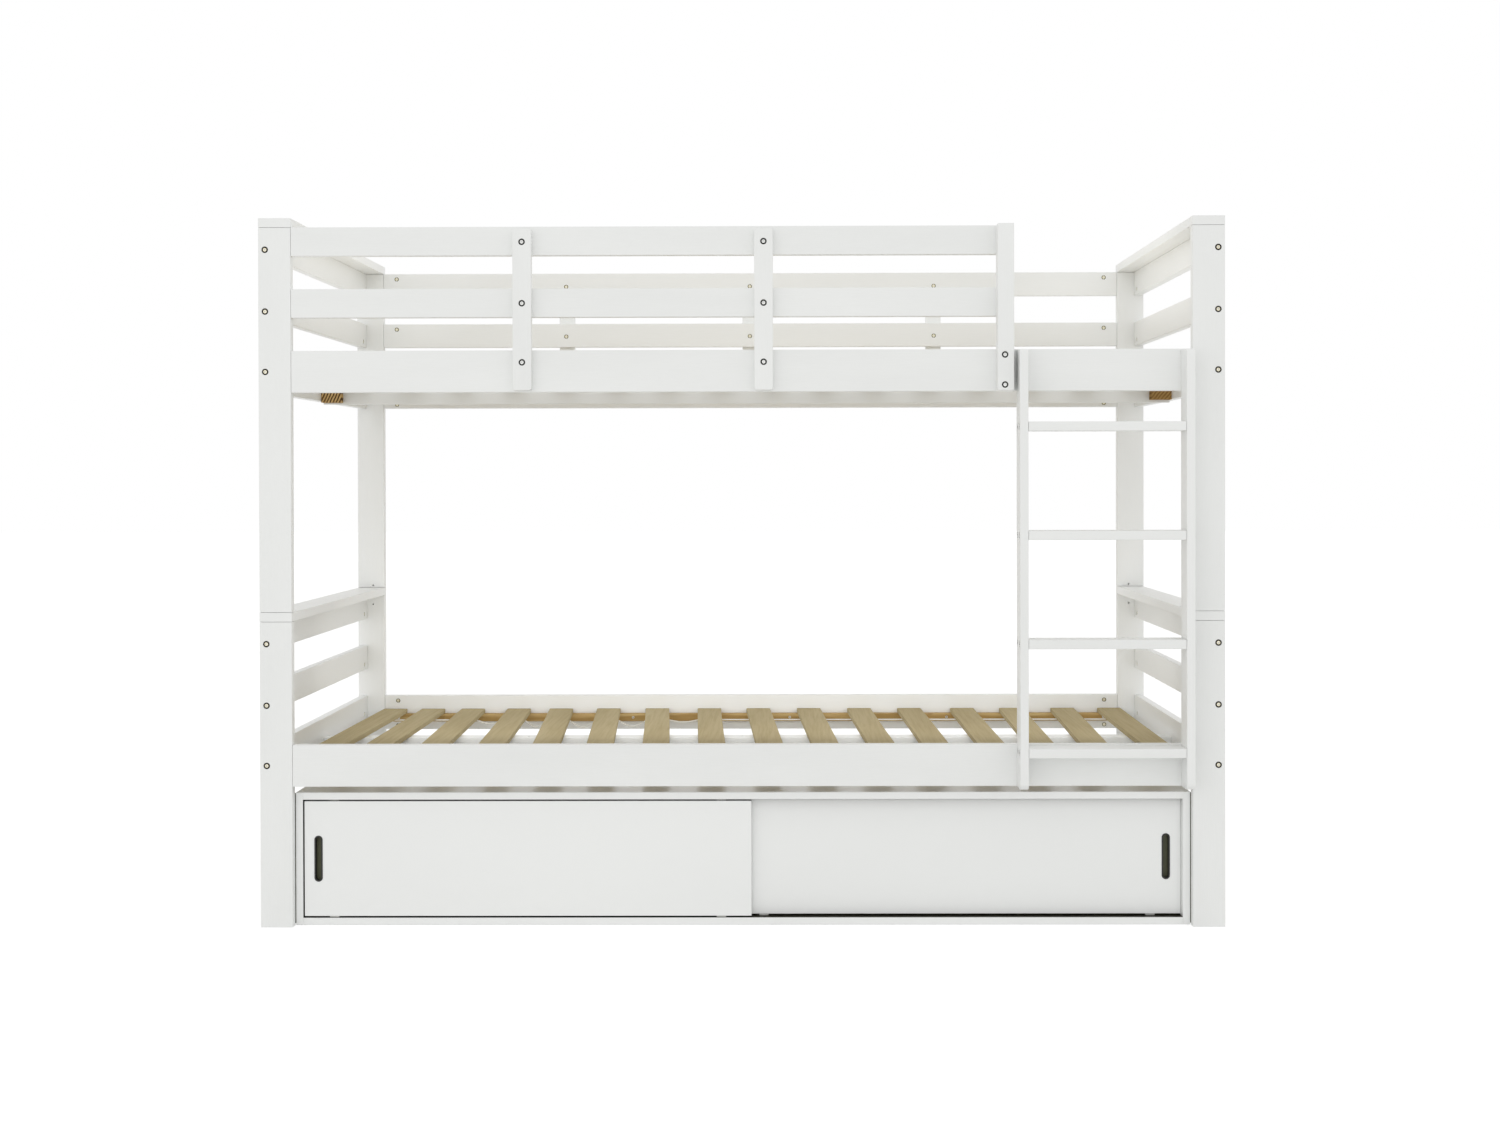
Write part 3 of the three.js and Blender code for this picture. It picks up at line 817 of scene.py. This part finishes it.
def slat(name, centre_x, z, push_before, push_behind, number):
    """One slat, skewed between its two pushes and slightly twisted, as a loose slat is."""
    low = (centre_x - SLAT_WIDTH / 2, BED_MIDDLE_Y - SLAT_HALF_LENGTH, z)
    high = (centre_x + SLAT_WIDTH / 2, BED_MIDDLE_Y + SLAT_HALF_LENGTH, z + SLAT_THICKNESS)
    piece = board(name, low, high, "y")
    bpy.ops.object.mode_set(mode="EDIT")
    for cut in range(1, SLAT_CUTS + 1):
        cut_y = low[1] + cut * 2 * SLAT_HALF_LENGTH / (SLAT_CUTS + 1)
        bpy.ops.mesh.select_all(action="SELECT")
        bpy.ops.mesh.bisect(plane_co=(0, cut_y, 0), plane_no=(0, 1, 0))
    edit = bmesh.from_edit_mesh(piece.data)
    bow = 0.0015 * math.sin(2.4 * number)
    for vertex in edit.verts:
        y = vertex.co.y - BED_MIDDLE_Y
        vertex.co.x += push_before + (push_behind - push_before) * push_share(y)
        vertex.co.x += bow * (1 - (y / SLAT_HALF_LENGTH) ** 2)
    bmesh.update_edit_mesh(piece.data)
    bpy.ops.object.mode_set(mode="OBJECT")
    return piece


def slat_deck(bunk):
    """Sixteen slats on two pine ledgers, with the two tapes that keep their spacing."""
    node = bunk + "_slat_deck"
    low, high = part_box(node)
    slat_z = high.z - SLAT_THICKNESS
    centres = []
    for number in range(SLAT_COUNT):
        even_x = FIRST_SLAT_X + number * SLAT_PITCH
        if bunk == "lower":
            before, behind = SLAT_PUSH_BEFORE[number] / 1000, SLAT_PUSH_BEHIND[number] / 1000
        else:
            before = 0.002 * math.sin(1.7 * number)
            behind = 0.003 * math.sin(1.7 * number + 1.1)
        piece = slat(f"{bunk}_slat_{number + 1}", even_x, slat_z, before, behind, number)
        finish_piece(piece, bare_wood, [node])
        centres.append((even_x, before, behind))
    for end, y in (("front", low.y), ("back", high.y - LEDGER_SIDE)):
        ledger(f"{bunk}_{end}_ledger", low, high, y, slat_z)
        tape(f"{bunk}_{end}_tape", end, slat_z, centres, bunk == "lower")


def ledger(name, low, high, y, top):
    """A square pine strip screwed along the inside of a side rail."""
    piece = board(name, (low.x, y, top - LEDGER_SIDE), (high.x, y + LEDGER_SIDE, top), "x", 0.0012)
    inner_y = y + LEDGER_SIDE if y < 0 else y
    inward = (0, 1, 0) if y < 0 else (0, -1, 0)
    spacing = (high.x - low.x - 2 * LEDGER_END_SCREW) / (LEDGER_SCREWS - 1)
    spots = []
    for number in range(LEDGER_SCREWS):
        x = low.x + LEDGER_END_SCREW + number * spacing
        spots.append(((x, inner_y, top - LEDGER_SIDE / 2), inward))
    drill(piece, spots, SCREW_RECESS, SCREW_RECESS_DEPTH)
    finish_piece(piece, ledger_pine)
    fit("screws", name, spots, SCREW_SINK)


TAPE_WIDTH = 0.018
TAPE_OUTER_Y = 0.329
TAPE_THICKNESS = 0.0009
TAPE_END = 0.02
STITCHED_HALF = 0.024
SLACK = {2: 0.010, 3: 0.018, 4: 0.020, 5: 0.017, 6: 0.006}


def tape(name, end, slat_z, centres, loose):
    """The tape stapled under the slats, tight in some gaps and hanging in others."""
    sign = -1 if end == "front" else 1
    y = BED_MIDDLE_Y + sign * (TAPE_OUTER_Y - TAPE_WIDTH / 2)
    share = push_share(y - BED_MIDDLE_Y)
    stops = [even + before + (behind - before) * share for even, before, behind in centres]
    slack_gaps = SLACK if loose else {}
    clear_selection()
    bpy.ops.mesh.primitive_grid_add(x_subdivisions=(SLAT_COUNT - 1) * 12, y_subdivisions=2, size=1)
    piece = bpy.context.active_object
    piece.name = name
    edit = bmesh.new()
    edit.from_mesh(piece.data)
    start, length = stops[0] - TAPE_END, stops[-1] - stops[0] + 2 * TAPE_END
    for vertex in edit.verts:
        x = start + (vertex.co.x + 0.5) * length
        drop = 0.0
        for gap, sag in slack_gaps.items():
            left, right = stops[gap] + STITCHED_HALF, stops[gap + 1] - STITCHED_HALF
            if left < x < right:
                drop = sag * math.sin(math.pi * (x - left) / (right - left)) ** 1.3
        vertex.co = (x, y + vertex.co.y * TAPE_WIDTH, slat_z - TAPE_THICKNESS - drop)
    edit.to_mesh(piece.data)
    edit.free()
    thicken = piece.modifiers.new("thickness", "SOLIDIFY")
    thicken.thickness = TAPE_THICKNESS
    thicken.offset = 1.0
    pick(piece)
    bpy.ops.object.modifier_apply(modifier=thicken.name)
    finish_piece(piece, cotton_tape)


# Centre beams

BEAM_THICKNESS = 0.015
LOWER_BEAM_JOINT_X = 0.007
LOWER_BEAM_SCREWS_X = (-0.527, -0.008, 0.510)
BEAM_RECESS = 0.010
BEAM_RECESS_DEPTH = 0.0018
BEAM_SCREW_SINK = 0.0012
BLOCK_LENGTH = 0.053
BLOCK_HALF_WIDTH = 0.0125

# The upper beam's blocks are sawn by hand: the length of each, and how far it ends above
# the beam's lower edge
SAWN_BLOCKS = {"left": (0.0475, 0.0035), "right": (0.049, 0.006)}


def beam_block(node, side, low, high):
    """One pine block, sawn across the grain and left bare."""
    finish_piece(board(f"{node}_{side}_block", low, high, "y", 0.001), block_pine[side])


def lower_beam():
    """A flat board in two lengths that meet at the middle, on a pine block at each end."""
    node = "lower_centre_beam"
    low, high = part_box(node)
    top = high.z
    underside = top - BEAM_THICKNESS
    lengths = []
    for start, stop in ((low.x, LOWER_BEAM_JOINT_X), (LOWER_BEAM_JOINT_X, high.x)):
        lengths.append(board(node + "_length", (start, low.y, underside), (stop, high.y, top), "x"))
    beam = join(lengths, node + "_wood")
    screws = [((x, BED_MIDDLE_Y, top), (0, 0, 1)) for x in LOWER_BEAM_SCREWS_X]
    drill(beam, screws, BEAM_RECESS, BEAM_RECESS_DEPTH)
    finish_piece(beam, paint["x"], [node])
    fit("screws", node, screws, BEAM_SCREW_SINK)
    for side, start in (("left", low.x), ("right", high.x - BLOCK_LENGTH)):
        corner = (start, BED_MIDDLE_Y - BLOCK_HALF_WIDTH, low.z)
        opposite = (start + BLOCK_LENGTH, BED_MIDDLE_Y + BLOCK_HALF_WIDTH, underside)
        beam_block(node, side, corner, opposite)


def upper_beam():
    """A board on edge under the slats, with a pine block on its front face at each end."""
    node = "upper_centre_beam"
    low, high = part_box(node)
    front_y = high.y - BEAM_THICKNESS
    beam = board(node + "_wood", (low.x, front_y, low.z), high, "x")
    finish_piece(beam, paint["x"], [node])
    for side, (length, short) in SAWN_BLOCKS.items():
        start = low.x if side == "left" else high.x - length
        beam_block(node, side, (start, low.y, low.z + short), (start + length, front_y, high.z))


# Guards

BATTEN_BOLTS_Z = (1.217, 1.3435, 1.475)
STILE_BOLTS_X = 0.5635
STILE_BOLTS_Z = (1.166, 1.230)


def guard_batten(node, front):
    """An upright batten bolted through the rails behind it."""
    low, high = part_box(node)
    piece = rounded_batten(node + "_wood", low, high)
    outer_y = low.y if front else high.y
    direction = (0, -1, 0) if front else (0, 1, 0)
    bolts = [(((low.x + high.x) / 2, outer_y, z), direction) for z in BATTEN_BOLTS_Z]
    drill(piece, bolts, BOLT_RECESS, BOLT_RECESS_DEPTH)
    finish_piece(piece, paint["z"], [node])
    fit("zinc_bolts", node, bolts, BOLT_SINK)


def guard_stile():
    """The thicker upright that ends the front guard beside the ladder."""
    node = "front_guard_stile"
    low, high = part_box(node)
    piece = board(node + "_wood", low, high, "z", 0.0015, 0.0015)
    bolts = [((STILE_BOLTS_X, low.y, z), (0, -1, 0)) for z in STILE_BOLTS_Z]
    drill(piece, bolts, BOLT_RECESS, BOLT_RECESS_DEPTH)
    finish_piece(piece, paint["z"], [node])
    fit("zinc_bolts", node, bolts, BOLT_SINK)


def guards():
    """Battens and stile, and every rail along the bed, with a dowel behind each batten."""
    centres = {}
    for end, count in (("front", 2), ("back", 3)):
        centres[end] = []
        for number in range(1, count + 1):
            node = f"{end}_guard_batten_{number}"
            low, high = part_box(node)
            centres[end].append((low.x + high.x) / 2)
            guard_batten(node, end == "front")
    guard_stile()
    for end in ("front", "back"):
        ends = ("left",) if end == "front" else ("left", "right")
        for rail, z in (("middle_rail", BATTEN_BOLTS_Z[1]), ("top_rail", BATTEN_BOLTS_Z[2])):
            long_rail(f"{end}_guard_{rail}", ends, [(x, z) for x in centres[end]])
        side_rail_screws = [(x, BATTEN_BOLTS_Z[0]) for x in centres[end]]
        long_rail(f"upper_{end}_side_rail", ("left", "right"), side_rail_screws)
        long_rail(f"lower_{end}_side_rail")


# Ladder

def ladder_side(side):
    """A flat side board with round front corners, drilled for the bolts in the rung ends."""
    node = f"ladder_{side}_side"
    low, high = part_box(node)
    piece = block(node + "_wood", low, high)
    front_corner = runs_along("x")
    ease(piece, lambda a, b: front_corner(a, b) and a.y < low.y + 1e-6, LADDER_CORNER, 8)
    ease(piece, lies_at("x", low.x, high.x), 0.001, 3)
    outer_x = low.x if side == "left" else high.x
    outward = (-1, 0, 0) if side == "left" else (1, 0, 0)
    bolts = []
    for number in range(1, 5):
        rung_low, rung_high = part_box(f"ladder_rung_{number}")
        middle = (rung_low + rung_high) / 2
        for offset in (-LADDER_BOLT_SPACING / 2, LADDER_BOLT_SPACING / 2):
            bolts.append(((outer_x, middle.y + offset, middle.z), outward))
    drill(piece, bolts, BOLT_RECESS, BOLT_RECESS_DEPTH)
    finish_piece(piece, paint["z"], [node])
    fit("zinc_bolts", node, bolts, BOLT_SINK)


def ladder():
    """Two sides and four flat rungs between them."""
    for side in ("left", "right"):
        ladder_side(side)
    for number in range(1, 5):
        node = f"ladder_rung_{number}"
        low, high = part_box(node)
        rung = board(node + "_wood", low, high, "x", 0.0015, gaps=(JOINT_GAP, JOINT_GAP))
        finish_piece(rung, paint["x"], [node])


# Sliding doors

DOOR_THICKNESS = 0.016
PULL_DEPTH = 0.012
HAIR = 0.00002

# The panels' lower and upper edges leave a thin gap, and so do their left ones, each door
# being pushed a little to the right in its track
DOOR_BOTTOM_Z = 0.0193
DOOR_TOP_Z = 0.2687
DOOR_PUSH = {"left": 0.0006, "right": 0.0014}
PULL_SLOT = (0.015, 0.097)
GLIDE_SETBACK = 0.055
GLIDE_LENGTH = 0.020
GLIDE_WIDTH = 0.010
GLIDE_FOOT_Z = (0.0163, 0.0192)
TONGUE_HALF = 0.0022
TONGUE_ROOT_Z = (0.0168, 0.2688)


def stadium(name, centre, width, height, y):
    """An upright slot shape with round ends, between two depths.

    The ends are rounded a hair short of half the width, so that their edges stay apart.
    """
    low = (centre.x - width / 2, y[0], centre.z - height / 2)
    high = (centre.x + width / 2, y[1], centre.z + height / 2)
    piece = block(name, low, high)
    ease(piece, runs_along("y"), width / 2 - HAIR, 12)
    return piece


def door(side):
    """A door panel with a slot for its finger pull, on two glides and two tongues."""
    node = f"{side}_door_panel"
    body = f"{side}_door"
    low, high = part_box(node)
    pull_low, pull_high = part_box(f"{side}_door_pull")
    pull_centre = (pull_low + pull_high) / 2
    front_y = pull_high.y - PULL_DEPTH
    panel_low = Vector((low.x + DOOR_PUSH[side], front_y, DOOR_BOTTOM_Z))
    panel_high = Vector((high.x + DOOR_PUSH[side], front_y + DOOR_THICKNESS, DOOR_TOP_Z))
    panel = board(node + "_board", panel_low, panel_high, "x", PANEL_ARRIS, PANEL_ARRIS)
    slot = stadium("slot", pull_centre, *PULL_SLOT, (front_y - 0.005, front_y + 0.03))
    combine(panel, slot, "DIFFERENCE")
    finish_piece(panel, board_white, [node], body)
    middle_y = front_y + DOOR_THICKNESS / 2
    glides = []
    for start in (low.x + GLIDE_SETBACK, high.x - GLIDE_SETBACK - GLIDE_LENGTH):
        stop = start + GLIDE_LENGTH
        foot_low = (start, front_y + 0.001, GLIDE_FOOT_Z[0])
        foot_high = (stop, middle_y + GLIDE_WIDTH / 2, GLIDE_FOOT_Z[1])
        glides.append(board("glide", foot_low, foot_high, "x", 0.0004))
        for bottom, top in ((low.z, TONGUE_ROOT_Z[0]), (TONGUE_ROOT_Z[1], high.z)):
            tongue_low = (start, middle_y - TONGUE_HALF, bottom)
            tongue_high = (stop, middle_y + TONGUE_HALF, top)
            glides.append(board("tongue", tongue_low, tongue_high, "x", 0.0006))
    finish_piece(join(glides, f"{side}_door_glides"), glide_plastic, body=body)
    finger_pull(side, pull_low, pull_high, body)


def finger_pull(side, low, high, body):
    """A black cup with a thin rim on the door's face and an olive floor."""
    node = f"{side}_door_pull"
    centre = (low + high) / 2
    width, height = high.x - low.x, high.z - low.z
    rim_thickness, flange, wall, floor = 0.00075, 0.0035, 0.0025, 0.00125
    rim = stadium(node + "_cup", centre, width, height, (low.y, low.y + rim_thickness))
    ease(rim, lies_at("y", low.y), 0.0003, 2)
    cup = stadium("cup", centre, width - flange, height - flange, (low.y + 0.0004, high.y))
    combine(rim, cup, "UNION")
    hollow_depths = (low.y - 0.001, high.y - floor)
    inside = flange + wall
    hollow = stadium("hollow", centre, width - inside, height - inside, hollow_depths)
    combine(rim, hollow, "DIFFERENCE")

    def on_the_floor(face):
        return face.normal.y < -0.9 and face.center.y > high.y - 0.002

    two_finishes(rim, pull_black, pull_olive, on_the_floor)
    finish_piece(rim, pull_black, [node], body)


# A dark strip on each side of the storage box, just behind the bed's front post: a near-black piece put
# in the gap as painted shade, for the shadow between post and box
STRIP_X = (0.9690, 0.9715)
STRIP_Y = (BED_MIDDLE_Y - 0.4626, BED_MIDDLE_Y - 0.4575)
STRIP_Z = (0.004, 0.286)


def storage_box():
    """The box's boards keep their own shape and get the board's finish; a dark strip on each side is
    painted shade for the shadow between box and post.
    """
    # These four boards carry the painted shade in the door opening
    shade_painted_boards = ("left_panel", "floor_panel", "left_top_panel", "right_top_panel")
    for name in shade_painted_boards + ("right_panel", "back_panel", "divider"):
        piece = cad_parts["storage_" + name]
        piece.data.materials.clear()
        piece.data.materials.append(board_gap_shade if name in shade_painted_boards else board_white)
    for side, start, stop in (("left", -STRIP_X[1], -STRIP_X[0]), ("right", *STRIP_X)):
        corners = (start, STRIP_Y[0], STRIP_Z[0]), (stop, STRIP_Y[1], STRIP_Z[1])
        finish_piece(board(f"storage_{side}_shade_strip", *corners, "z", 0.0003, 0.0003), shade_strip_finish)


make_camera()
make_world()
make_floor()

make_lamp("left_softbox", (-4.6, -7.4, 1.6), (0, 0, 0.8), (4.4, 3.0), 24)
make_lamp("low_softbox", (0, -9.5, 0.9), (0, 0, 0.8), (6.0, 1.4), 24)
fill("lower_bunk_fill", (0, -0.20, 0.52), (0, 1, 0), (1.8, 0.2), 1.6)
fill("upper_bunk_fill", (0, -0.36, 1.40), (0, 1, 0), (1.8, 0.2), 0.8)
fill("upper_left_fill", (-0.80, 0, 1.25), (-0.35, 0, 1), (0.8, 0.14), 0.3)
fill("upper_right_fill", (0.80, 0, 1.25), (0.35, 0, 1), (0.8, 0.14), 0.35)

paint = {grain: painted_wood(grain) for grain in "xyz"}
bare_wood = slat_wood()
ledger_heart = (0.0, 0.35, -0.21)
ledger_pine = pine("ledger_pine", "x", ledger_heart, (202, 176, 122), (164, 134, 80))
block_pine = {
    "left": end_grain("left_block_pine", -24, (216, 182, 124), (72, 46, 16)),
    "right": end_grain("right_block_pine", -40, (172, 138, 84), (126, 94, 48)),
}
board_white = faced_board("white_board")
# Board finish with painted shade in the door opening
board_gap_shade = gap_shaded_board()
pull_black = moulded_plastic("pull_black", (38, 38, 36), (30, 30, 29), 0.45)
pull_olive = moulded_plastic("pull_olive", (86, 88, 62), (76, 78, 54), 0.55)
glide_plastic = moulded_plastic("glide_plastic", (196, 196, 192), (184, 184, 180), 0.5)
brass = plated_metal("brass_plate", (242, 236, 212), (234, 226, 196), 0.3)
# The dark finishes of rims, sockets and slots are painted shade and painted reflection
brass_rim = painted_shade_finish("brass_rim", (44, 38, 28), (30, 26, 20))
zinc = plated_metal("zinc_plate", (236, 237, 234), (222, 223, 221), 0.3)
zinc_rim = painted_shade_finish("zinc_rim", (42, 43, 38), (30, 31, 28))
dowel_rim = painted_shade_finish("dowel_rim", (112, 108, 72), (90, 86, 56))
cotton_tape = woven_tape()
# Painted shade: near-black finish for the strips that stand in for the shadow beside the box
shade_strip_finish = moulded_plastic("dark_felt", (62, 60, 42), (50, 48, 33), 0.9)

fittings = {
    "brass_bolts": bolt_head(brass, brass_rim),
    "zinc_bolts": bolt_head(zinc, zinc_rim),
    "dowels": barrel_nut(brass, dowel_rim),
    "screws": wood_screw(zinc, zinc_rim),
}

for bunk in ("lower", "upper"):
    for side in ("left", "right"):
        end_frame(bunk, side)
    slat_deck(bunk)
lower_beam()
upper_beam()
guards()
ladder()
storage_box()
for side in ("left", "right"):
    door(side)
for template in fittings.values():
    remove(template)

bpy.context.scene.view_settings.view_transform = "Standard"
